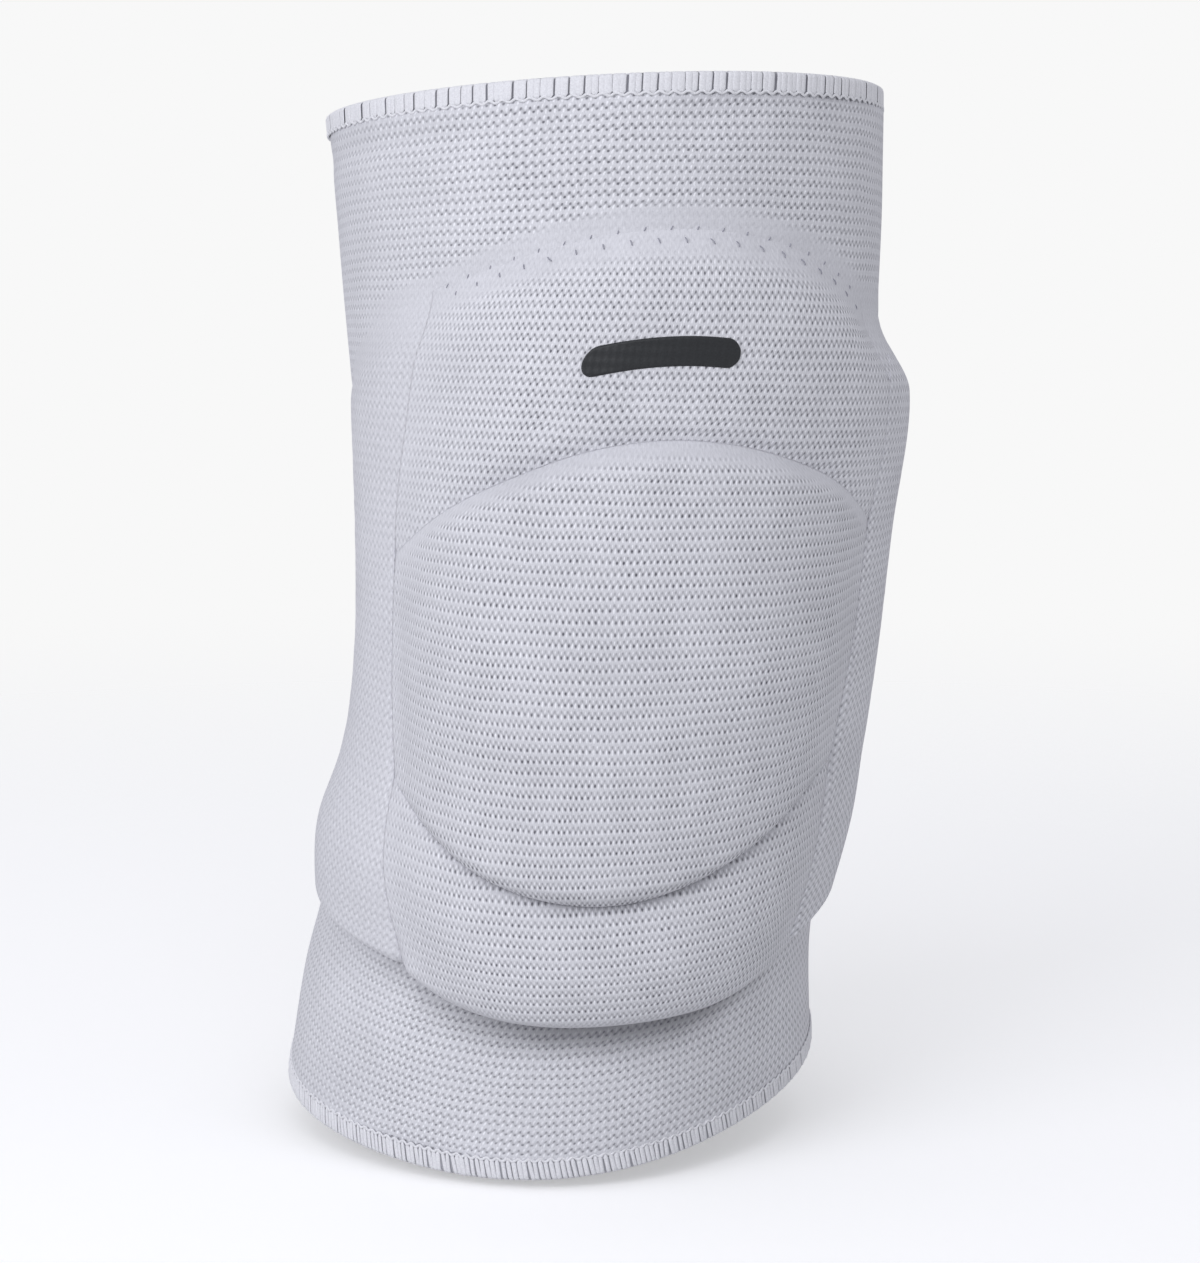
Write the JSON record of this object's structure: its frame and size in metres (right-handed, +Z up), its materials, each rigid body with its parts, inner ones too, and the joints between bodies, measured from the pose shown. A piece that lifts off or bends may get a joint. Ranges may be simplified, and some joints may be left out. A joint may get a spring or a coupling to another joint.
{
  "type": "volleyball knee pad",
  "caption": "White knitted volleyball knee pad in its worn shape: an open tube with a domed knee pad, pads above and below it, padded sides and overlocked rims.",
  "frame": {"origin": "the middle of the hollow at the height of the kneecap, where the leg holds the pad", "axes": "+Z up along the leg, -Y out of the front of the knee, +X to the right as the front is looked at"},
  "size_m": [0.1454, 0.1511, 0.2471],
  "materials": {
    "sleeve_knit": "matt white elastic knit",
    "padded_knit": "matt white elastic knit over foam",
    "overlock_thread": "white textured polyester thread",
    "print_film": "matt black heat-pressed film"
  },
  "bodies": {
    "root": {"knit_sleeve": "sleeve_knit", "upper_pad": "padded_knit", "knee_pad": "padded_knit", "lower_pad": "padded_knit", "left_side_pad": "padded_knit", "right_side_pad": "padded_knit", "top_overlock": "overlock_thread", "bottom_overlock": "overlock_thread", "front_print": "print_film"}
  },
  "joints": []
}
